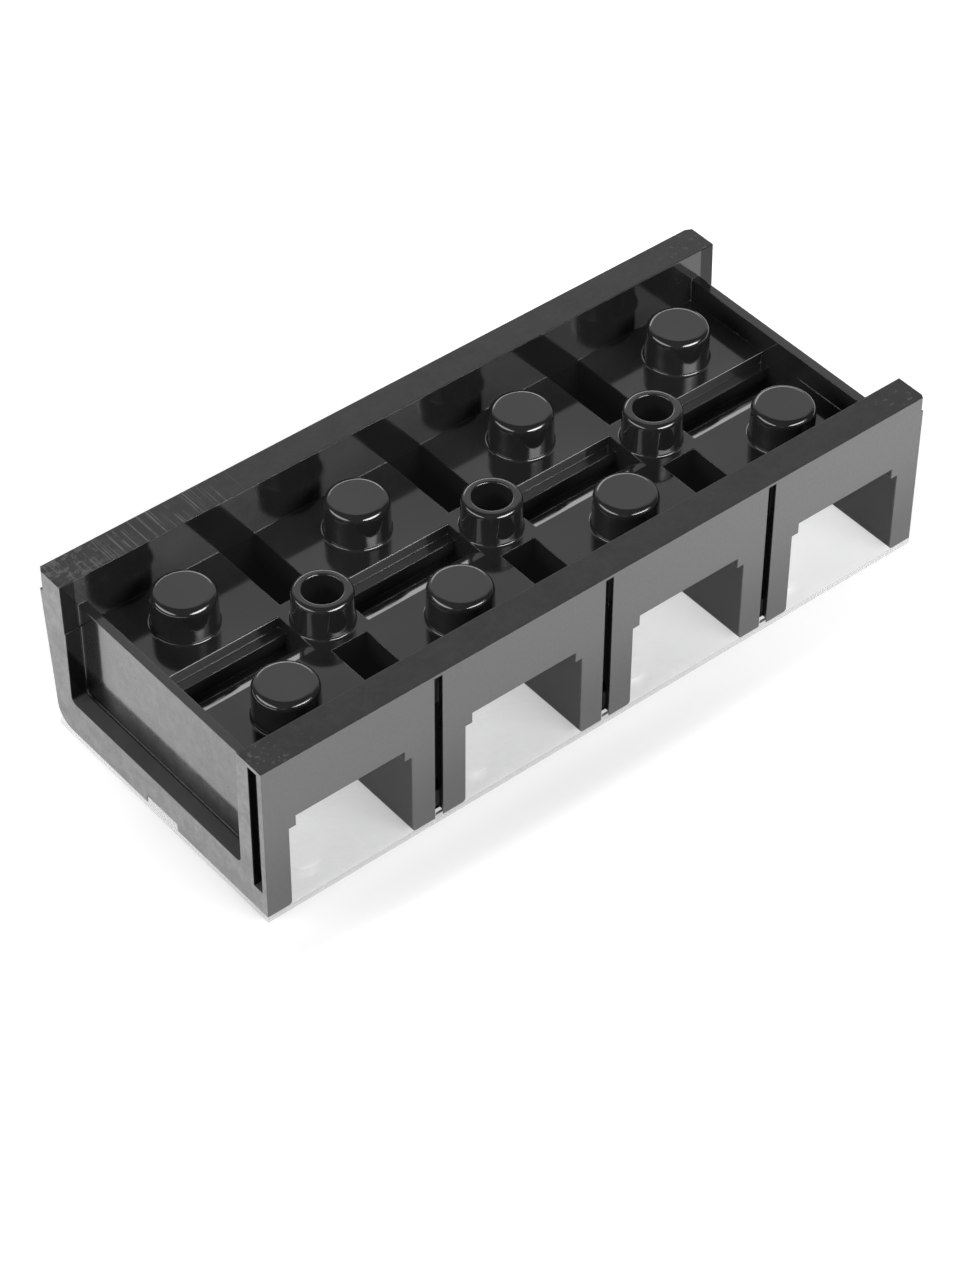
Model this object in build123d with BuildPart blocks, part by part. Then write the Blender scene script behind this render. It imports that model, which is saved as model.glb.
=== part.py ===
from build123d import *
import os

# Barrier terminal block with four poles and two rows of screws. It lies with its underside up, on its flat clear cover.
# Millimetres, +Z up. X runs along the row of poles, Y from the front wall to the back wall, and Z = 0 is the outer
# face of the cover. The screws point up into the underside, and their heads face the cover.

# housing, overall
pole_count = 4
pitch = 34.0
end_trim = 0.65
width = 57.3
housing_tall = 31.0
back_draft = 2.4
back_foot_radius = 3.5

# underside
cavity_deep = 9.65
floor_thick = 2.75
front_wall_rim = 6.0
front_wall_floor = 6.6
back_wall_rim = 5.95
back_wall_floor = 6.2
end_wall_thick = 1.6
end_wall_over_floor = 4.4
end_wall_setback = 3.05
web_thick = 6.8
recess_corner_radius = 1.2
end_wall_bite = 0.2

# bosses over the screw tips, and tubes around the mounting holes
row_offset = 13.0
boss_radius = 5.5
boss_tall = 6.7
boss_draft = 1.1
boss_edge_radius = 1.25
boss_skin = 1.4
socket_radius = 3.7
tube_radius = 5.15
tube_tall = 6.3
tube_draft = 1.2
tube_edge_radius = 0.9
mount_bore_radius = 3.3
mouth_radius = 0.3
foot_radius = 0.45

# hollow barriers
barrier_wide = 10.5
barrier_foot_radius = 0.6
barrier_skin = 1.85
pocket_gap_back = 6.65
pocket_gap_front = 6.5
pocket_draft = 0.8

# channels between the two rows
channel_front = -0.75
channel_back = 4.65
channel_step = 2.8
channel_shelf_deep = 2.2
channel_deep = 5.2
channel_edge_radius = 4.0
channel_skin = 0.8
rib_wall = 1.8

# wire entries
ledge_wide = 1.35
ledge_tall = 2.05

# slots in the front wall
slot_wide = 1.6
slot_lip = 1.1
slot_skin_at_rim = 0.55
guide_wide = 4.2
guide_deep = 2.2
guide_foot = 4.5
guide_skin_at_rim = 0.75

# notches and the cover's tongues
notch_front = -5.45
notch_back = 2.45
notch_deep = 2.6
notch_tall = 1.4

# cover
cover_thick = 1.2
cover_play = 0.1
nub_tall = 1.3
nub_edge_radius = 0.35

# contact bars
bar_thick = 2.2
bar_past_screw = 10.0
bar_play = 0.1
bar_corner = 1.0
thread_radius = 3.0

# screws with their washers
thread_play = 0.05
screw_long = 15.0
head_radius = 6.0
head_tall = 3.6
head_edge_radius = 1.3
tip_chamfer = 0.6
drive_wide = 1.5
drive_deep = 2.0
cross_long = 7.0
drive_turn = 35.0
clamp_side = 14.0
clamp_thick = 1.3
clamp_corner_radius = 1.5
ring_radius = 5.3
ring_thick = 1.0
ring_gap = 1.0
ring_gap_turn = 140.0
washer_play = 0.09

# pole by pole: the turn of each clamp plate in degrees, and how far each screw is undone
clamp_turn = {"front": [9.0, -6.0, 4.0, -11.0], "back": [-4.0, 7.0, -8.0, 5.0]}
undone = {"front": [1.2, 0.0, 0.0, 0.0], "back": [0.0, 0.0, 0.0, 0.0]}

# worn corners of the rims: side along X, side along Y, and how far the wear goes along X, along Y and down
worn_corners = [(-1, 1, 0.6, 1.0, 4.0), (1, 1, 1.1, 0.6, 6.0), (1, -1, 0.4, 0.7, 3.0)]

# levels and positions that follow from the sizes above
length = pole_count * pitch - 2 * end_trim
front_y = -width / 2
back_y = width / 2
back_foot_y = back_y - back_draft
base_z = cover_thick
rim_z = base_z + housing_tall
floor_z = rim_z - cavity_deep
cell_z = floor_z - floor_thick
ledge_z = cell_z - ledge_tall
web_z = base_z + web_thick
cell_wide = pitch - barrier_wide
pole_x = [(i - (pole_count - 1) / 2) * pitch for i in range(pole_count)]
barrier_x = [(i - pole_count / 2) * pitch for i in range(pole_count + 1)]
inner_barrier_x = barrier_x[1:-1]
row_y = {"front": -row_offset, "back": row_offset}
end_wall_x = length / 2 - end_wall_setback - end_wall_thick / 2
bar_long = 2 * (row_offset + bar_past_screw)
bar_seat_z = floor_z - channel_deep - channel_skin
bar_z = bar_seat_z - bar_thick

os.makedirs("parts", exist_ok=True)


# one moulded housing: outer body, underside, poles, bosses and tubes, hollow barriers, slots
with BuildPart() as housing:
    with BuildSketch(Plane.YZ.offset(-length / 2)) as body_side:
        with BuildLine():
            Polyline((front_y, base_z), (back_foot_y, base_z), (back_y, rim_z), (front_y, rim_z), close=True)
        make_face()
        fillet(body_side.vertices().group_by(Axis.Y)[0].sort_by(Axis.X)[-1], radius=back_foot_radius)
    extrude(amount=length)

    with BuildSketch(Plane.YZ.offset(-length / 2)):
        with BuildLine():
            Polyline(
                (front_y + front_wall_rim, rim_z),
                (front_y + front_wall_floor, floor_z),
                (back_y - back_wall_floor, floor_z),
                (back_y - back_wall_rim, rim_z),
                close=True,
            )
        make_face()
    extrude(amount=length, mode=Mode.SUBTRACT)

    # end walls stand between the long walls, lower than the rims
    with BuildSketch(Plane.XY.offset(floor_z)):
        with Locations((-end_wall_x, 0), (end_wall_x, 0)):
            Rectangle(end_wall_thick, width - 2 * (front_wall_rim - end_wall_bite))
    extrude(amount=end_wall_over_floor)

    # half pockets outside the end walls, open at both ends of the block
    recess_deep = end_wall_setback
    for side in (-1, 1):
        with BuildSketch(Plane.YZ.offset(side * (length / 2 - recess_deep / 2))) as recess_side:
            with Locations((0, (web_z + floor_z) / 2)):
                Rectangle(width - front_wall_floor - back_wall_floor, floor_z - web_z)
            fillet(recess_side.vertices().group_by(Axis.Y)[0], radius=recess_corner_radius)
        extrude(amount=recess_deep / 2, both=True, mode=Mode.SUBTRACT)

    # one cell for each pole, open to the front, the back and the cover, with a ledge along each barrier
    half = cell_wide / 2
    r = barrier_foot_radius
    for x in pole_x:
        with BuildSketch(Plane.XZ.offset(-width)):
            with BuildLine():
                left_foot = CenterArc((x - half - r, base_z + r), r, -90, 90)
                right_foot = CenterArc((x + half + r, base_z + r), r, 180, 90)
                Polyline(
                    left_foot @ 1,
                    (x - half, ledge_z),
                    (x - half + ledge_wide, ledge_z),
                    (x - half + ledge_wide, cell_z),
                    (x + half - ledge_wide, cell_z),
                    (x + half - ledge_wide, ledge_z),
                    (x + half, ledge_z),
                    right_foot @ 0,
                )
                Line(right_foot @ 1, left_foot @ 0)
            make_face()
        extrude(amount=2 * width, mode=Mode.SUBTRACT)

    # seat for each contact bar: a rail under each ledge, and a rib across the cell under the channel
    rib_front = channel_front - rib_wall
    rib_back = channel_back + rib_wall
    rail_long = bar_long + 2 * bar_play
    with BuildSketch(Plane.XY.offset(bar_seat_z)):
        with Locations(*[(x, 0) for x in pole_x]):
            Rectangle(cell_wide, rail_long)
            Rectangle(cell_wide - 2 * ledge_wide, rail_long, mode=Mode.SUBTRACT)
        with Locations(*[(x, (rib_front + rib_back) / 2) for x in pole_x]):
            Rectangle(cell_wide, rib_back - rib_front)
    extrude(amount=cell_z - bar_seat_z)

    # channels on the underside: a shelf at the back, a deeper front part, and a widely rounded front edge
    r = channel_edge_radius
    for x in pole_x:
        with BuildSketch(Plane.YZ.offset(x - half)):
            with BuildLine():
                edge = CenterArc((channel_front - r, floor_z - r), r, 0, 90)
                Polyline(
                    edge @ 0,
                    (channel_front, floor_z - channel_deep),
                    (channel_step, floor_z - channel_deep),
                    (channel_step, floor_z - channel_shelf_deep),
                    (channel_back, floor_z - channel_shelf_deep),
                    (channel_back, floor_z + 1),
                    (channel_front - r, floor_z + 1),
                    edge @ 1,
                )
            make_face()
        extrude(amount=cell_wide, mode=Mode.SUBTRACT)

    # pockets in the inner barriers, in front of and behind each tube
    pocket_wide = barrier_wide - 2 * barrier_skin
    pocket_back_end = back_y - back_wall_floor
    pocket_front_end = front_y + front_wall_floor
    with BuildSketch(Plane.XY.offset(floor_z)):
        with Locations(*[(x, (pocket_gap_back + pocket_back_end) / 2) for x in inner_barrier_x]):
            Rectangle(pocket_wide, pocket_back_end - pocket_gap_back)
        with Locations(*[(x, -(pocket_gap_front - pocket_front_end) / 2) for x in inner_barrier_x]):
            Rectangle(pocket_wide, -pocket_gap_front - pocket_front_end)
    extrude(amount=-(floor_z - web_z), taper=pocket_draft, mode=Mode.SUBTRACT)

    # round bosses over the screw tips, hollow from the cell side
    boss_spots = [(x, y) for x in pole_x for y in row_y.values()]
    with BuildSketch(Plane.XY.offset(floor_z)):
        with Locations(*boss_spots):
            Circle(boss_radius)
    extrude(amount=boss_tall, taper=boss_draft)
    boss_tops = housing.edges().filter_by(GeomType.CIRCLE).filter_by_position(
        Axis.Z, floor_z + boss_tall - 0.01, floor_z + boss_tall + 0.01)
    fillet(boss_tops, radius=boss_edge_radius)
    with BuildSketch(Plane.XY.offset(cell_z)):
        with Locations(*boss_spots):
            Circle(socket_radius)
    extrude(amount=floor_z + boss_tall - boss_skin - cell_z, mode=Mode.SUBTRACT)

    # tubes around the mounting holes, which go through the inner barriers
    with BuildSketch(Plane.XY.offset(floor_z)):
        with Locations(*[(x, 0) for x in inner_barrier_x]):
            Circle(tube_radius)
    extrude(amount=tube_tall, taper=tube_draft)
    tube_tops = housing.edges().filter_by(GeomType.CIRCLE).filter_by_position(
        Axis.Z, floor_z + tube_tall - 0.01, floor_z + tube_tall + 0.01)
    fillet(tube_tops, radius=tube_edge_radius)
    with BuildSketch(Plane.XY.offset(base_z)):
        with Locations(*[(x, 0) for x in inner_barrier_x]):
            Circle(mount_bore_radius)
    extrude(amount=rim_z - base_z, mode=Mode.SUBTRACT)
    mouths = housing.edges().filter_by(GeomType.CIRCLE).filter_by_position(
        Axis.Z, floor_z + tube_tall - 0.01, floor_z + tube_tall + 0.01).sort_by(SortBy.RADIUS)
    fillet(mouths[: len(inner_barrier_x)], radius=mouth_radius)

    # small fillets where the bosses and the tubes meet the floor of the underside
    feet = housing.edges().filter_by(GeomType.CIRCLE).filter_by_position(Axis.Z, floor_z - 0.01, floor_z + 0.01)
    fillet(feet, radius=foot_radius)

    # slots in the front wall at the inner barriers, each opening into a wider guide
    with BuildSketch(Plane.XY.offset(base_z)):
        with Locations(*[(x, front_y + slot_lip / 2) for x in inner_barrier_x]):
            Rectangle(slot_wide, slot_lip)
    extrude(amount=housing_tall - slot_skin_at_rim, mode=Mode.SUBTRACT)
    with BuildSketch(Plane.XY.offset(base_z + guide_foot)):
        with Locations(*[(x, front_y + slot_lip + guide_deep / 2) for x in barrier_x]):
            Rectangle(guide_wide, guide_deep)
    extrude(amount=housing_tall - guide_skin_at_rim - guide_foot, mode=Mode.SUBTRACT)

    # corners of the rims that are worn off
    for side_x, side_y, worn_x, worn_y, worn_deep in worn_corners:
        corner_x, corner_y = side_x * length / 2, side_y * width / 2
        with BuildSketch(Plane.XY.offset(rim_z)):
            with BuildLine():
                Polyline(
                    (corner_x, corner_y),
                    (corner_x - side_x * worn_x, corner_y),
                    (corner_x, corner_y - side_y * worn_y),
                    close=True,
                )
            make_face()
        extrude(amount=-worn_deep, mode=Mode.SUBTRACT)

    # notches in both ends at the cover
    with BuildSketch(Plane.XY.offset(base_z)):
        with Locations(*[(s * length / 2, (notch_front + notch_back) / 2) for s in (-1, 1)]):
            Rectangle(2 * notch_deep, notch_back - notch_front)
    extrude(amount=notch_tall, mode=Mode.SUBTRACT)
housing.part.label = "housing"
export_step(housing.part, "parts/housing.step")


# flat clear cover with a tongue in each end notch and a nub in each front slot
with BuildPart() as cover:
    with BuildSketch():
        with Locations((0, (front_y + back_foot_y) / 2)):
            Rectangle(length, back_foot_y - front_y)
    extrude(amount=cover_thick)
    tongue_deep = notch_deep - cover_play
    with BuildSketch(Plane.XY.offset(cover_thick)):
        with Locations(*[(s * (length - tongue_deep) / 2, (notch_front + notch_back) / 2) for s in (-1, 1)]):
            Rectangle(tongue_deep, notch_back - notch_front - 2 * cover_play)
    extrude(amount=notch_tall - cover_play)
    with BuildSketch(Plane.XY.offset(cover_thick)):
        with Locations(*[(x, front_y + slot_lip / 2) for x in inner_barrier_x]):
            Rectangle(slot_wide - 2 * cover_play, slot_lip)
    extrude(amount=nub_tall)
    nub_tops = cover.edges().filter_by(Axis.Y).filter_by_position(
        Axis.Z, cover_thick + nub_tall - 0.01, cover_thick + nub_tall + 0.01)
    fillet(nub_tops, radius=nub_edge_radius)
cover.part.label = "cover"
export_step(cover.part, "parts/cover.step")


# contact bars lie on the rails and the rib of each cell, with a tapped hole for each screw
for number, x in enumerate(pole_x, start=1):
    with BuildPart() as bar:
        with BuildSketch(Plane.XY.offset(bar_z)) as bar_outline:
            with Locations((x, 0)):
                Rectangle(cell_wide - 2 * bar_play, bar_long)
            chamfer(bar_outline.vertices(), length=bar_corner)
            with Locations((x, -row_offset), (x, row_offset)):
                Circle(thread_radius, mode=Mode.SUBTRACT)
        extrude(amount=bar_thick)
    bar.part.label = f"contact_bar_{number}"
    export_step(bar.part, f"parts/contact_bar_{number}.step")


# screws, each captive in a spring ring and a square clamp plate
for row, y in row_y.items():
    for number, (x, turn, gap) in enumerate(zip(pole_x, clamp_turn[row], undone[row]), start=1):
        plate_z = bar_z - clamp_thick - gap
        ring_z = plate_z - ring_thick
        head_z = ring_z - head_tall
        washer_bore = thread_radius - thread_play + washer_play

        with BuildPart() as clamp:
            with BuildSketch(Plane.XY.offset(plate_z)):
                with Locations(Location((x, y), turn)):
                    RectangleRounded(clamp_side, clamp_side, clamp_corner_radius)
                    Circle(washer_bore, mode=Mode.SUBTRACT)
            extrude(amount=clamp_thick)
        clamp.part.label = f"clamp_plate_{row}_{number}"
        export_step(clamp.part, f"parts/clamp_plate_{row}_{number}.step")

        with BuildPart() as ring:
            with BuildSketch(Plane.XY.offset(ring_z)):
                with Locations((x, y)):
                    Circle(ring_radius)
                    Circle(washer_bore, mode=Mode.SUBTRACT)
                with Locations(Location((x, y), turn + ring_gap_turn)):
                    with Locations(((ring_radius + washer_bore) / 2, 0)):
                        Rectangle(ring_radius, ring_gap, mode=Mode.SUBTRACT)
            extrude(amount=ring_thick)
        ring.part.label = f"spring_ring_{row}_{number}"
        export_step(ring.part, f"parts/spring_ring_{row}_{number}.step")

        with BuildPart() as screw:
            with BuildSketch(Plane.XY.offset(head_z)):
                with Locations((x, y)):
                    Circle(head_radius)
            extrude(amount=head_tall)
            fillet(screw.edges().group_by(Axis.Z)[0], radius=head_edge_radius)
            with BuildSketch(Plane.XY.offset(ring_z)):
                with Locations((x, y)):
                    Circle(thread_radius - thread_play)
            extrude(amount=screw_long)
            chamfer(screw.edges().group_by(Axis.Z)[-1], length=tip_chamfer)
            with BuildSketch(Plane.XY.offset(head_z)):
                with Locations(Location((x, y), turn + drive_turn)):
                    Rectangle(2 * head_radius, drive_wide)
                    Rectangle(drive_wide, cross_long)
            extrude(amount=drive_deep, mode=Mode.SUBTRACT)
        screw.part.label = f"screw_{row}_{number}"
        export_step(screw.part, f"parts/screw_{row}_{number}.step")
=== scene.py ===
"""Looks of a four-pole barrier terminal block that lies underside up on its clear cover. Metres, +Z up."""

import math

import bpy
from mathutils import Matrix, Vector


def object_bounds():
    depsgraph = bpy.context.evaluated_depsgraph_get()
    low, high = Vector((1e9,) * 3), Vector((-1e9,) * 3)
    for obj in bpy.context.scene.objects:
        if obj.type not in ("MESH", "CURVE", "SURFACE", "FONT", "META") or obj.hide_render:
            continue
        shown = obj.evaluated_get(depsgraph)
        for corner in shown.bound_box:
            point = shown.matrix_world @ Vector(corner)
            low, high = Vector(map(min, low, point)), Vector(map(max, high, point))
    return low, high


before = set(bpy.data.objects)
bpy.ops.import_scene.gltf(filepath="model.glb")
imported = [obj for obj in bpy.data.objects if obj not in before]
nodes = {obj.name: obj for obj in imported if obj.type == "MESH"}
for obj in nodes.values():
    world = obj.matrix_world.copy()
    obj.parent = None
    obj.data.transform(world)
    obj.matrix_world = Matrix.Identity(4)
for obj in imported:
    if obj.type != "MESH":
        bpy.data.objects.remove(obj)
cad_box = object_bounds()

# camera, fitted to the photograph
EYE = Vector((-0.28500, -0.34215, 0.42936))
TARGET = Vector((-0.016608, -0.01733, 0.0202))
ROLL = math.radians(0.271)
FOCAL_PIXELS = 3768.75
FRAME_TALL = 1280
SENSOR = 36.0

# outer faces of the block, from the frame
(_, FRONT_Y, _), (HALF_LONG, BACK_Y, RIM_Z) = cad_box

# places on the block: poles and screws, floor of the underside, ceiling of the cells, lean of the back wall
PITCH = 0.034
ROW = 0.013
FLOOR_Z = RIM_Z - 0.00965
CELL_Z = FLOOR_Z - 0.00275
BACK_LEAN = 0.0024 / 0.031
END_WALL_X = HALF_LONG - 0.0030

# how deep under an outer face its own look begins to fade
SKIN = 0.0006

# barriers: half width and ends of the pockets, radius of the bores, and how far along the block they reach
POCKET_HALF = 0.0037
POCKET_MIDDLE_Y = -0.0010
POCKET_REACH = 0.0260
BORE_RADIUS = 0.0034
BARRIERS_X = 0.045

# channels: the shelf at the back with a painted highlight along its lip, and the rounded side at the front
SHELF_FRONT = 0.0018
CHANNEL_BACK = 0.00465
SHELF_DEEP = 0.0023
LIP_WIDE = 0.00008
ROUND_FRONT = -0.0049
ROUND_BACK = -0.0007

# greys of the black plastic, as shares of white; the end, panel and lip greys hold painted light, painted
# reflection and a painted highlight, the hollow grey painted shade
INNER_GREY = 0.016
FRONT_GREY = 0.063
# the ends' grey is lifted well above the plastic's black by painted light
END_PAINTED_LIGHT_GREY = 0.195
RIM_GREY = 0.021
PANEL_PAINTED_REFLECTION_GREY = 0.10
BACK_GREY = 0.040
HOLLOW_PAINTED_SHADE_GREY = 0.006
LIP_PAINTED_HIGHLIGHT_GREY = 0.60
CHIP_GREY = 0.065
WORN_GREY = 0.085
SCRATCH_GREY = 0.11

# screw thread: its lead, and the shank's inner and outer radius
THREAD_LEAD = 0.001
SHANK = (0.0028, 0.0031)

# floor, and the brightness that it and the backdrop show to the camera
FLOOR_HALF = 2.5
FLOOR_GREY = 0.58
BACKDROP = math.radians(50)
ROOM_LEVEL = 0.05
BACKDROP_LEVEL = 0.45

# oval soft boxes a metre away: azimuth from +X and elevation in degrees, width and height in metres, radiance
LAMPS = (
    ("box_left", 167.0, 29.5, (1.40, 0.35), 2.4),
    ("box_left_middle", 167.0, 29.5, (1.20, 0.28), 7.4),
    ("box_right", -71.0, 37.0, (1.02, 0.41), 1.4),
    ("box_right_middle", -80.0, 34.5, (0.98, 0.32), 8.4),
    ("box_back", 58.0, 28.0, (0.80, 0.24), 2.0),
)


def node_material(name):
    """A fresh node material with its Principled shader and output."""
    material = bpy.data.materials.new(name)
    material.use_nodes = True
    tree = material.node_tree
    tree.nodes.clear()
    shader = tree.nodes.new("ShaderNodeBsdfPrincipled")
    output = tree.nodes.new("ShaderNodeOutputMaterial")
    tree.links.new(shader.outputs["BSDF"], output.inputs["Surface"])
    return material, tree, shader


class Nodes:
    """Short ways to add nodes to one tree. A number, a colour or a socket may stand for any input."""

    def __init__(self, tree):
        self.tree = tree

    def put(self, socket, value):
        if isinstance(value, bpy.types.NodeSocket):
            self.tree.links.new(value, socket)
        else:
            socket.default_value = value

    def math(self, how, a, b=None, c=None):
        node = self.tree.nodes.new("ShaderNodeMath")
        node.operation = how
        for socket, value in zip(node.inputs, (a, b, c)):
            if value is not None:
                self.put(socket, value)
        return node.outputs[0]

    def chain(self, how, first, *others):
        """The first value, joined with each of the others in turn."""
        for other in others:
            first = self.math(how, first, other)
        return first

    def times(self, *values):
        return self.chain("MULTIPLY", *values)

    def plus(self, *values):
        return self.chain("ADD", *values)

    def largest(self, *values):
        return self.chain("MAXIMUM", *values)

    def absolute(self, value):
        return self.math("ABSOLUTE", value)

    def distance(self, a, b):
        """Length of the vector a, b."""
        return self.math("SQRT", self.plus(self.times(a, a), self.times(b, b)))

    def vector_math(self, how, a, b=None):
        node = self.tree.nodes.new("ShaderNodeVectorMath")
        node.operation = how
        self.put(node.inputs[0], a)
        if b is not None:
            self.put(node.inputs[1], b)
        return node.outputs[0]

    def coordinates(self, kind):
        """Texture coordinates of one kind, whole and as x, y, z."""
        node = self.tree.nodes.new("ShaderNodeTexCoord")
        parts = self.tree.nodes.new("ShaderNodeSeparateXYZ")
        self.tree.links.new(node.outputs[kind], parts.inputs[0])
        return node.outputs[kind], parts.outputs

    def noise(self, vector, scale, detail=3.0, rough=0.55, stretch=None):
        if stretch is not None:
            vector = self.vector_math("MULTIPLY", vector, stretch)
        node = self.tree.nodes.new("ShaderNodeTexNoise")
        self.put(node.inputs["Vector"], vector)
        node.inputs["Scale"].default_value = scale
        node.inputs["Detail"].default_value = detail
        node.inputs["Roughness"].default_value = rough
        return node.outputs["Fac"]

    def ramp(self, value, low, high, start=0.0, end=1.0):
        """value from low..high to start..end, smoothly and held at both ends."""
        node = self.tree.nodes.new("ShaderNodeMapRange")
        node.interpolation_type = "SMOOTHSTEP"
        self.put(node.inputs["Value"], value)
        for name, number in (("From Min", low), ("From Max", high), ("To Min", start), ("To Max", end)):
            self.put(node.inputs[name], number)
        return node.outputs["Result"]

    def between(self, value, low, high, edge):
        """1 from low to high, fading to 0 over the width edge outside each of them."""
        return self.times(self.ramp(value, low - edge, low), self.ramp(value, high + edge, high))

    def blend(self, kind, first_input, output, share, a, b):
        """A Mix node of one kind. Its two sides are at first_input and the one after."""
        node = self.tree.nodes.new("ShaderNodeMix")
        node.data_type = kind
        self.put(node.inputs[0], share)
        self.put(node.inputs[first_input], a)
        self.put(node.inputs[first_input + 1], b)
        return node.outputs[output]

    def mix(self, share, a, b):
        return self.blend("FLOAT", 2, 0, share, a, b)

    def mix_vector(self, share, a, b):
        return self.blend("VECTOR", 4, 1, share, a, b)

    def mix_colour(self, share, a, b):
        return self.blend("RGBA", 6, 2, share, a, b)

    def bump(self, height, strength, distance, normal=None):
        node = self.tree.nodes.new("ShaderNodeBump")
        self.put(node.inputs["Height"], height)
        self.put(node.inputs["Strength"], strength)
        node.inputs["Distance"].default_value = distance
        if normal is not None:
            self.put(node.inputs["Normal"], normal)
        return node.outputs["Normal"]

    def soft_edges(self, radius, samples=4):
        node = self.tree.nodes.new("ShaderNodeBevel")
        node.samples = samples
        node.inputs["Radius"].default_value = radius
        return node.outputs["Normal"]

    def grey(self, level):
        """A grey colour from a number socket."""
        node = self.tree.nodes.new("ShaderNodeCombineColor")
        for i in range(3):
            self.put(node.inputs[i], level)
        return node.outputs[0]


def squarely(make, along):
    """Mask of the faces that look squarely along an axis, from their normal's share of it."""
    return make.ramp(along, 0.90, 0.97)


def outer_faces(make, place, facing):
    """Masks of the housing's ends, front wall, back wall and rims, by place and facing."""
    x, y, z = place
    nx, ny, nz = facing
    end = make.times(make.ramp(make.absolute(x), HALF_LONG - SKIN, HALF_LONG - SKIN / 3),
                     squarely(make, make.absolute(nx)))
    front = make.times(make.ramp(y, FRONT_Y + SKIN, FRONT_Y + SKIN / 3),
                       squarely(make, make.times(ny, -1.0)))
    lean = make.times(make.math("SUBTRACT", RIM_Z, z), BACK_LEAN)
    back = make.times(make.ramp(make.plus(y, lean), BACK_Y - SKIN, BACK_Y - SKIN / 3),
                      make.ramp(ny, 0.6, 0.95))
    rim = make.times(make.ramp(z, RIM_Z - SKIN, RIM_Z - SKIN / 3), squarely(make, nz))
    return end, front, back, rim


def barrier_hollows(make, place, nz):
    """Mask of the upright walls of the pockets and bores in the barriers."""
    x, y, z = place
    across = make.math("PINGPONG", x, PITCH / 2)
    upright = make.times(make.ramp(make.absolute(nz), 0.5, 0.4),
                         make.ramp(make.absolute(x), BARRIERS_X + 0.005, BARRIERS_X))
    from_centre = make.absolute(make.math("SUBTRACT", y, POCKET_MIDDLE_Y))
    pocket = make.times(make.ramp(across, POCKET_HALF + 0.0001, POCKET_HALF),
                        make.ramp(z, FLOOR_Z - 0.0001, FLOOR_Z - 0.0003),
                        make.ramp(from_centre, POCKET_REACH + 0.0002, POCKET_REACH))
    bore = make.ramp(make.distance(across, y), BORE_RADIUS + 0.0002, BORE_RADIUS)
    return make.times(make.largest(pocket, bore), upright)


def channel_sides(make, place, facing, inside):
    """Masks of each channel's shelf at the back, of the lip over it and of the rounded front side."""
    _, y, z = place
    _, ny, nz = facing
    shelf = make.times(inside,
                       make.ramp(y, SHELF_FRONT - 0.0001, SHELF_FRONT),
                       make.ramp(y, CHANNEL_BACK + 0.00035, CHANNEL_BACK + 0.00015),
                       make.ramp(z, FLOOR_Z - SHELF_DEEP - 0.0003, FLOOR_Z - SHELF_DEEP),
                       make.ramp(z, FLOOR_Z - 0.0001, FLOOR_Z - 0.0002))
    lip = make.times(inside,
                     make.between(y, CHANNEL_BACK - LIP_WIDE, CHANNEL_BACK + LIP_WIDE, LIP_WIDE / 2),
                     make.between(z, FLOOR_Z - 1.5 * LIP_WIDE, FLOOR_Z - LIP_WIDE / 2, LIP_WIDE / 2))
    rounded = make.times(make.ramp(y, ROUND_FRONT - 0.0001, ROUND_FRONT),
                         make.ramp(y, ROUND_BACK + 0.0002, ROUND_BACK),
                         make.ramp(z, FLOOR_Z + 0.0003, FLOOR_Z),
                         make.ramp(ny, 0.02, 0.05),
                         make.ramp(nz, 0.3, 0.45))
    return shelf, lip, rounded


def rim_wear(make, where, place, rim):
    """Masks of the scratches across the left quarter of the back rim, its worn end, and small chips."""
    x, y, _ = place
    left = make.times(rim, make.ramp(x, -0.028, -0.040), make.ramp(y, 0.015, 0.020))
    line = make.noise(where, 1.0, 2.0, 0.5, stretch=(3600.0, 60.0, 60.0))
    patch = make.noise(where, 260.0, 2.0, 0.5)
    scratch = make.times(left, make.ramp(line, 0.56, 0.68), make.ramp(patch, 0.38, 0.52))
    worn = make.times(left, make.ramp(x, -0.052, -0.064),
                      make.ramp(make.noise(where, 800.0, 4.0, 0.7), 0.50, 0.62))
    chip = make.times(rim, make.ramp(make.absolute(x), 0.052, 0.066),
                      make.ramp(make.noise(where, 1100.0, 2.0), 0.62, 0.68))
    return scratch, worn, chip


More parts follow.
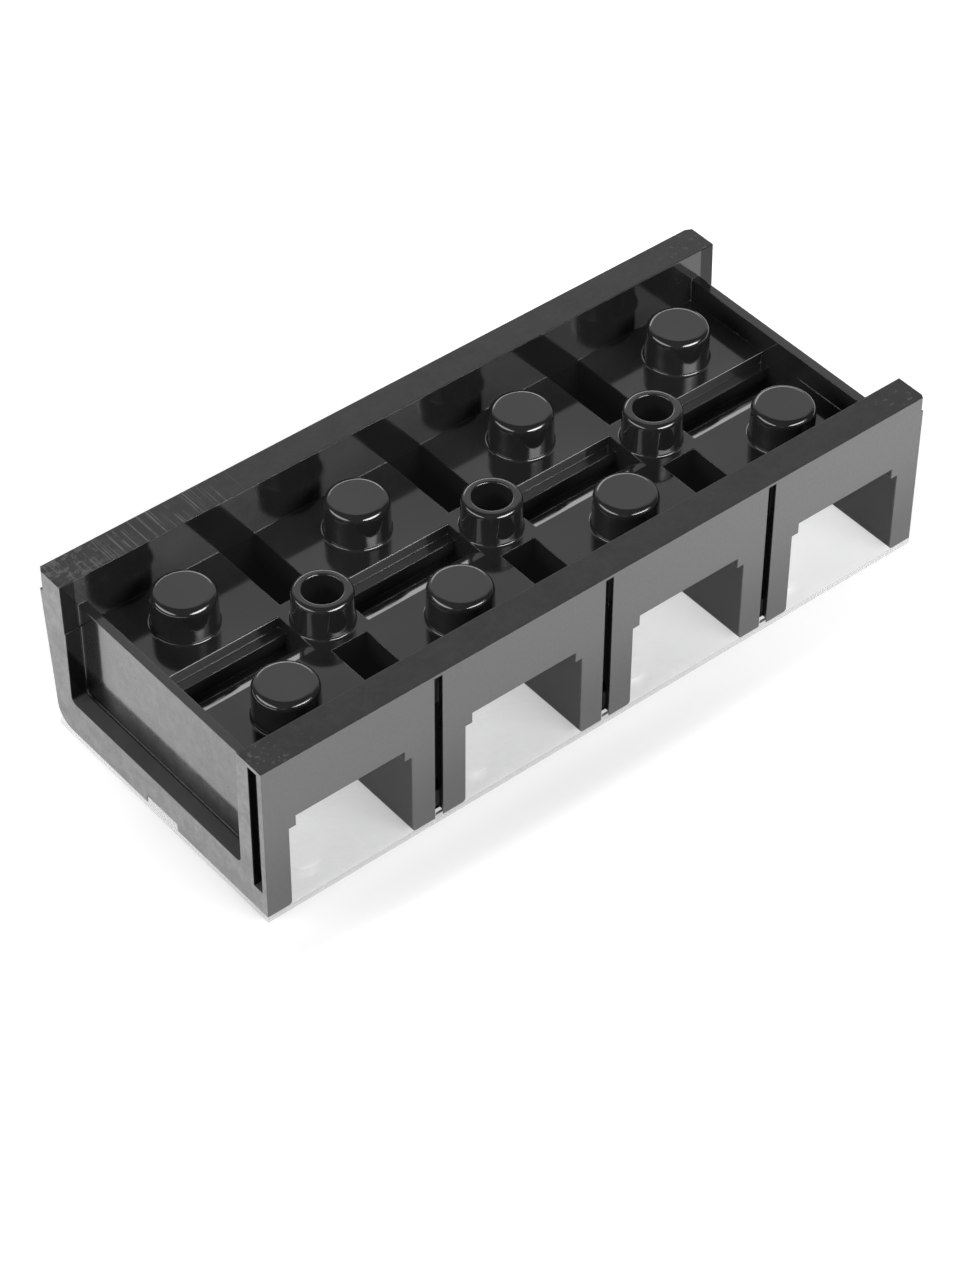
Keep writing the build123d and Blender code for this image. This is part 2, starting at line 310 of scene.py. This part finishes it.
def moulded_black():
    """Black moulded plastic: glossy inside, ground and duller outside, with rim scratches and worn edges, and
    painted light, shade and highlights on its faces.
    """
    material, tree, shader = node_material("black_plastic")
    make = Nodes(tree)
    where, place = make.coordinates("Object")
    _, facing = make.coordinates("Normal")
    x, y, z = place
    nx, ny, nz = facing

    end, front, back, rim = outer_faces(make, place, facing)
    outer = make.largest(end, front, back, rim)
    from_middle = make.absolute(x)
    panel = make.times(make.between(from_middle, END_WALL_X - 0.0002, END_WALL_X + 0.0002, 0.0002),
                       squarely(make, make.absolute(nx)))
    recess = make.times(make.ramp(from_middle, END_WALL_X + 0.0002, END_WALL_X + 0.0004),
                        make.math("SUBTRACT", 1.0, outer))
    inside = make.ramp(from_middle, END_WALL_X - 0.0004, END_WALL_X - 0.0006)
    cell = make.times(inside,
                      make.ramp(z, CELL_Z + 0.0002, CELL_Z - 0.0002),
                      make.ramp(y, FRONT_Y, FRONT_Y + 0.0003))
    hollow = barrier_hollows(make, place, nz)
    shelf, lip, rounded = channel_sides(make, place, facing, inside)
    scratch, worn, chip = rim_wear(make, where, place, rim)

    cloud = make.noise(where, 90.0, 4.0)
    mottle = make.noise(where, 420.0, 5.0, 0.7)
    fine = make.noise(where, 1500.0, 2.0)
    grain = make.noise(where, 5200.0, 2.0)

    # base colour, face by face, with painted light and shade: the recess lighter on its upward faces (painted
    # light), the front wall lighter higher up and to the right and darker low down (painted light and shade),
    # the end panel darker at its foot and beside the back wall (painted shade over a painted reflection), the
    # shelf lighter at its left end (painted highlight), the ends lit, the lip a painted highlight, the
    # hollows painted shade
    front_painted_shading_level = make.times(FRONT_GREY,
                             make.ramp(z, 0.004, 0.024, 0.62, 1.09),
                             make.ramp(x, -0.01, 0.065, 1.0, 1.22))
    panel_painted_reflection_and_shade = make.times(PANEL_PAINTED_REFLECTION_GREY,
                             make.ramp(z, 0.0085, 0.0145, 0.35, 1.0),
                             make.ramp(make.plus(y, make.times(cloud, 0.002)), 0.0195, 0.0150, 0.12, 1.0))
    shelf_painted_highlight_level = make.ramp(make.math("WRAP", x, 0.0, PITCH), 0.012, 0.027, 0.045, 0.016)
    level = make.mix(recess, INNER_GREY, make.ramp(nz, 0.4, 0.8, 0.008, 0.075))
    for mask, grey in (
        (front, front_painted_shading_level),
        (end, END_PAINTED_LIGHT_GREY),
        (rim, RIM_GREY),
        (panel, panel_painted_reflection_and_shade),
        (back, BACK_GREY),
        (shelf, shelf_painted_highlight_level),
        (hollow, HOLLOW_PAINTED_SHADE_GREY),
        (lip, LIP_PAINTED_HIGHLIGHT_GREY),
    ):
        level = make.mix(mask, level, grey)
    level = make.times(level,
                       make.ramp(cloud, 0.25, 0.75, 0.88, 1.12),
                       make.mix(make.largest(rim, end, panel), 1.0, make.ramp(mottle, 0.3, 0.7, 0.78, 1.22)),
                       make.mix(outer, 1.0, make.ramp(fine, 0.2, 0.8, 0.9, 1.1)))
    for mask, grey in ((chip, CHIP_GREY), (worn, WORN_GREY), (scratch, SCRATCH_GREY)):
        level = make.mix(mask, level, grey)
    make.put(shader.inputs["Base Color"], make.grey(level))
    # a faint painted glow lifts the painted shade of the pockets and bores evenly
    shader.inputs["Emission Color"].default_value = (1.0, 1.0, 1.0, 1.0)
    make.put(shader.inputs["Emission Strength"], make.times(hollow, 0.0035))

    rough = make.mix(outer, make.ramp(cloud, 0.3, 0.7, 0.08, 0.12), make.ramp(cloud, 0.3, 0.7, 0.40, 0.48))
    for mask, value in ((end, 0.55), (cell, 0.32), (hollow, 0.6), (scratch, 0.6)):
        rough = make.mix(mask, rough, value)
    make.put(shader.inputs["Roughness"], rough)
    shader.inputs["IOR"].default_value = 1.6
    gloss = make.mix(rim, 1.0, 0.4)
    for mask, value in ((make.largest(cell, recess), 0.30), (hollow, 0.05), (panel, 1.0)):
        gloss = make.mix(mask, gloss, value)
    make.put(shader.inputs["Specular IOR Level"], gloss)

    # grain on the ground faces, softened edges, and a sheen that turns evenly over the channels' rounded side
    height = make.plus(make.times(grain, make.mix(outer, 0.05, 1.0)),
                       make.times(fine, 0.6, outer),
                       make.times(scratch, -1.5))
    sheen = tree.nodes.new("ShaderNodeCombineXYZ")
    make.put(sheen.inputs[1], make.plus(make.times(ny, 0.50), 0.13))
    make.put(sheen.inputs[2], 1.0)
    turned = make.vector_math("NORMALIZE", sheen.outputs[0])
    normal = make.mix_vector(rounded, make.soft_edges(0.00028, 8), turned)
    make.put(shader.inputs["Normal"], make.bump(height, 0.35, 0.00003, normal))
    return material


def clear_cover():
    """Clear polished plastic with a few faint scuffs. Light passes it without a dark shadow."""
    material, tree, shader = node_material("clear_plastic")
    make = Nodes(tree)
    where, _ = make.coordinates("Object")
    scuff = make.noise(where, 1.0, 3.0, 0.6, stretch=(300.0, 900.0, 300.0))
    cloud = make.noise(where, 70.0, 3.0)
    shader.inputs["Base Color"].default_value = (0.93, 0.94, 0.94, 1.0)
    shader.inputs["Transmission Weight"].default_value = 1.0
    shader.inputs["IOR"].default_value = 1.49
    make.put(shader.inputs["Roughness"], make.ramp(scuff, 0.5, 0.8, 0.0, 0.12))
    make.put(shader.inputs["Normal"], make.bump(cloud, 0.15, 0.0002))
    output = next(node for node in tree.nodes if node.type == "OUTPUT_MATERIAL")
    clear = tree.nodes.new("ShaderNodeBsdfTransparent")
    clear.inputs["Color"].default_value = (0.9, 0.9, 0.9, 1.0)
    path = tree.nodes.new("ShaderNodeLightPath")
    both = tree.nodes.new("ShaderNodeMixShader")
    make.put(both.inputs[0], make.largest(path.outputs["Is Shadow Ray"], path.outputs["Is Diffuse Ray"]))
    make.put(both.inputs[1], shader.outputs["BSDF"])
    make.put(both.inputs[2], clear.outputs["BSDF"])
    make.put(output.inputs["Surface"], both.outputs[0])
    return material


def thread_ridges(make, place):
    """Height of a screw thread on the shanks, which all stand at the same place in their pole."""
    x, y, z = place
    across = make.math("SUBTRACT", make.math("WRAP", x, 2 * PITCH, 3 * PITCH), 2.5 * PITCH)
    along = make.math("SUBTRACT", y, make.times(make.math("SIGN", y), ROW))
    radius = make.distance(across, along)
    turn = make.math("DIVIDE", make.math("ARCTAN2", along, across), 2 * math.pi)
    climb = make.math("FRACT", make.math("SUBTRACT", make.math("DIVIDE", z, THREAD_LEAD), turn))
    ridge = make.absolute(make.math("SUBTRACT", make.times(climb, 2.0), 1.0))
    return make.times(ridge, make.between(radius, *SHANK, 0.0001))


def metal(name, colour, rough, brush=(700.0, 700.0, 700.0), thread=False):
    """Plated metal with uneven gloss and fine tool marks, and a screw thread where asked."""
    material, tree, shader = node_material(name)
    make = Nodes(tree)
    where, place = make.coordinates("Object")
    cloud = make.noise(where, 220.0, 3.0)
    marks = make.noise(where, 1.0, 3.0, 0.6, stretch=brush)
    dark = tuple(c * 0.72 for c in colour)
    base = make.mix_colour(make.ramp(cloud, 0.3, 0.75), (*dark, 1.0), (*colour, 1.0))
    make.put(shader.inputs["Base Color"], base)
    shader.inputs["Metallic"].default_value = 1.0
    make.put(shader.inputs["Roughness"], make.ramp(cloud, 0.3, 0.7, rough, rough + 0.12))
    height = make.times(marks, 0.12)
    if thread:
        height = make.plus(height, make.times(thread_ridges(make, place), 12.0))
    make.put(shader.inputs["Normal"], make.bump(height, 0.25, 0.00004, make.soft_edges(0.00015)))
    return material


def white_table():
    """A white table that keeps the block's shadow, with a painted shadow band and a painted light strip along
    its front wall. Its glow is seen, and lights nothing.
    """
    material = bpy.data.materials.new("white_table")
    material.use_nodes = True
    tree = material.node_tree
    tree.nodes.clear()
    make = Nodes(tree)
    table = tree.nodes.new("ShaderNodeBsdfDiffuse")
    table.inputs["Color"].default_value = (FLOOR_GREY, FLOOR_GREY, FLOOR_GREY, 1.0)
    glow = tree.nodes.new("ShaderNodeEmission")
    path = tree.nodes.new("ShaderNodeLightPath")
    seen = make.largest(path.outputs["Is Camera Ray"],
                        path.outputs["Is Glossy Ray"],
                        path.outputs["Is Transmission Ray"])
    # glow brighter to the back, to both sides and away from the front, leaving a painted shadow band along
    # the front wall with a painted light strip at its foot
    _, (x, y, _) = make.coordinates("Object")
    painted_light_strip = make.plus(make.times(make.ramp(y, -0.0350, -0.0300, 0.0, 0.06), make.ramp(x, 0.03, 0.0)), 0.025)
    level = make.plus(make.ramp(y, -0.05, 0.04, 0.42, 0.68),
                      make.ramp(x, -0.060, -0.100, 0.0, 0.12),
                      make.ramp(x, -0.01, 0.06, 0.0, 0.17),
                      make.ramp(y, -0.0365, -0.0435, 0.0, 0.27),
                      make.times(painted_light_strip, make.ramp(y, -0.027, -0.029)))
    make.put(glow.inputs["Strength"], make.times(seen, level))
    both = tree.nodes.new("ShaderNodeAddShader")
    output = tree.nodes.new("ShaderNodeOutputMaterial")
    tree.links.new(table.outputs[0], both.inputs[0])
    tree.links.new(glow.outputs[0], both.inputs[1])
    tree.links.new(both.outputs[0], output.inputs["Surface"])
    return material


def table_top():
    """A plain white floor at Z = 0."""
    signs = ((-1, -1), (1, -1), (1, 1), (-1, 1))
    corners = [(x * FLOOR_HALF, y * FLOOR_HALF, 0) for x, y in signs]
    mesh = bpy.data.meshes.new("floor")
    mesh.from_pydata(corners, [], [(0, 1, 2, 3)])
    mesh.materials.append(white_table())
    floor = bpy.data.objects.new("floor", mesh)
    bpy.context.scene.collection.objects.link(floor)


def surroundings():
    """A lit backdrop behind the block, and a dark room above and around it."""
    world = bpy.data.worlds.new("studio")
    bpy.context.scene.world = world
    world.use_nodes = True
    background = world.node_tree.nodes["Background"]
    background.inputs["Color"].default_value = (1.0, 1.0, 1.0, 1.0)
    make = Nodes(world.node_tree)
    _, (x, y, z) = make.coordinates("Generated")
    ahead = make.plus(make.times(x, math.cos(BACKDROP)), make.times(y, math.sin(BACKDROP)))
    flat = make.math("SQRT", make.math("SUBTRACT", 1.0001, make.times(z, z)))
    lit = make.times(make.ramp(make.math("DIVIDE", ahead, flat), 0.50, 0.82), make.ramp(z, 0.87, 0.77))
    make.put(background.inputs["Strength"], make.mix(lit, ROOM_LEVEL, BACKDROP_LEVEL))


def lamps():
    """The soft boxes, all facing the origin."""
    for name, azimuth, elevation, size, radiance in LAMPS:
        turn, rise = math.radians(azimuth), math.radians(elevation)
        at = Vector((math.cos(turn) * math.cos(rise), math.sin(turn) * math.cos(rise), math.sin(rise)))
        light = bpy.data.lights.new(name, "AREA")
        light.shape = "ELLIPSE"
        light.size, light.size_y = size
        area = math.pi * size[0] * size[1] / 4
        light.energy = radiance * math.pi * area
        lamp = bpy.data.objects.new(name, light)
        lamp.location = at
        lamp.rotation_euler = (-at).to_track_quat("-Z", "Y").to_euler()
        bpy.context.scene.collection.objects.link(lamp)


def camera():
    """The photograph's camera."""
    data = bpy.data.cameras.new("camera")
    data.sensor_fit = "AUTO"
    data.sensor_width = SENSOR
    data.lens = FOCAL_PIXELS * SENSOR / FRAME_TALL
    data.clip_start = 0.01
    data.clip_end = 20.0
    ahead = (TARGET - EYE).normalized()
    right = ahead.cross(Vector((0, 0, 1))).normalized()
    up = right.cross(ahead)
    right, up = right * math.cos(ROLL) + up * math.sin(ROLL), up * math.cos(ROLL) - right * math.sin(ROLL)
    turn = Matrix((right, up, -ahead)).transposed().to_4x4()
    eye = bpy.data.objects.new("camera", data)
    eye.matrix_world = Matrix.Translation(EYE) @ turn
    bpy.context.scene.collection.objects.link(eye)
    bpy.context.scene.camera = eye


finishes = {
    "housing": moulded_black(),
    "cover": clear_cover(),
    "contact_bar": metal("plated_brass", (0.74, 0.72, 0.66), 0.22, brush=(150.0, 2500.0, 600.0)),
    "clamp_plate": metal("plated_steel", (0.78, 0.78, 0.77), 0.20),
    "spring_ring": metal("spring_steel", (0.62, 0.62, 0.62), 0.25),
    "screw": metal("screw_steel", (0.76, 0.76, 0.75), 0.22, thread=True),
}
for name, piece in nodes.items():
    kind = next(k for k in finishes if name.startswith(k))
    piece.data.materials.clear()
    piece.data.materials.append(finishes[kind])

table_top()
surroundings()
lamps()
camera()
bpy.context.scene.view_settings.view_transform = "Standard"
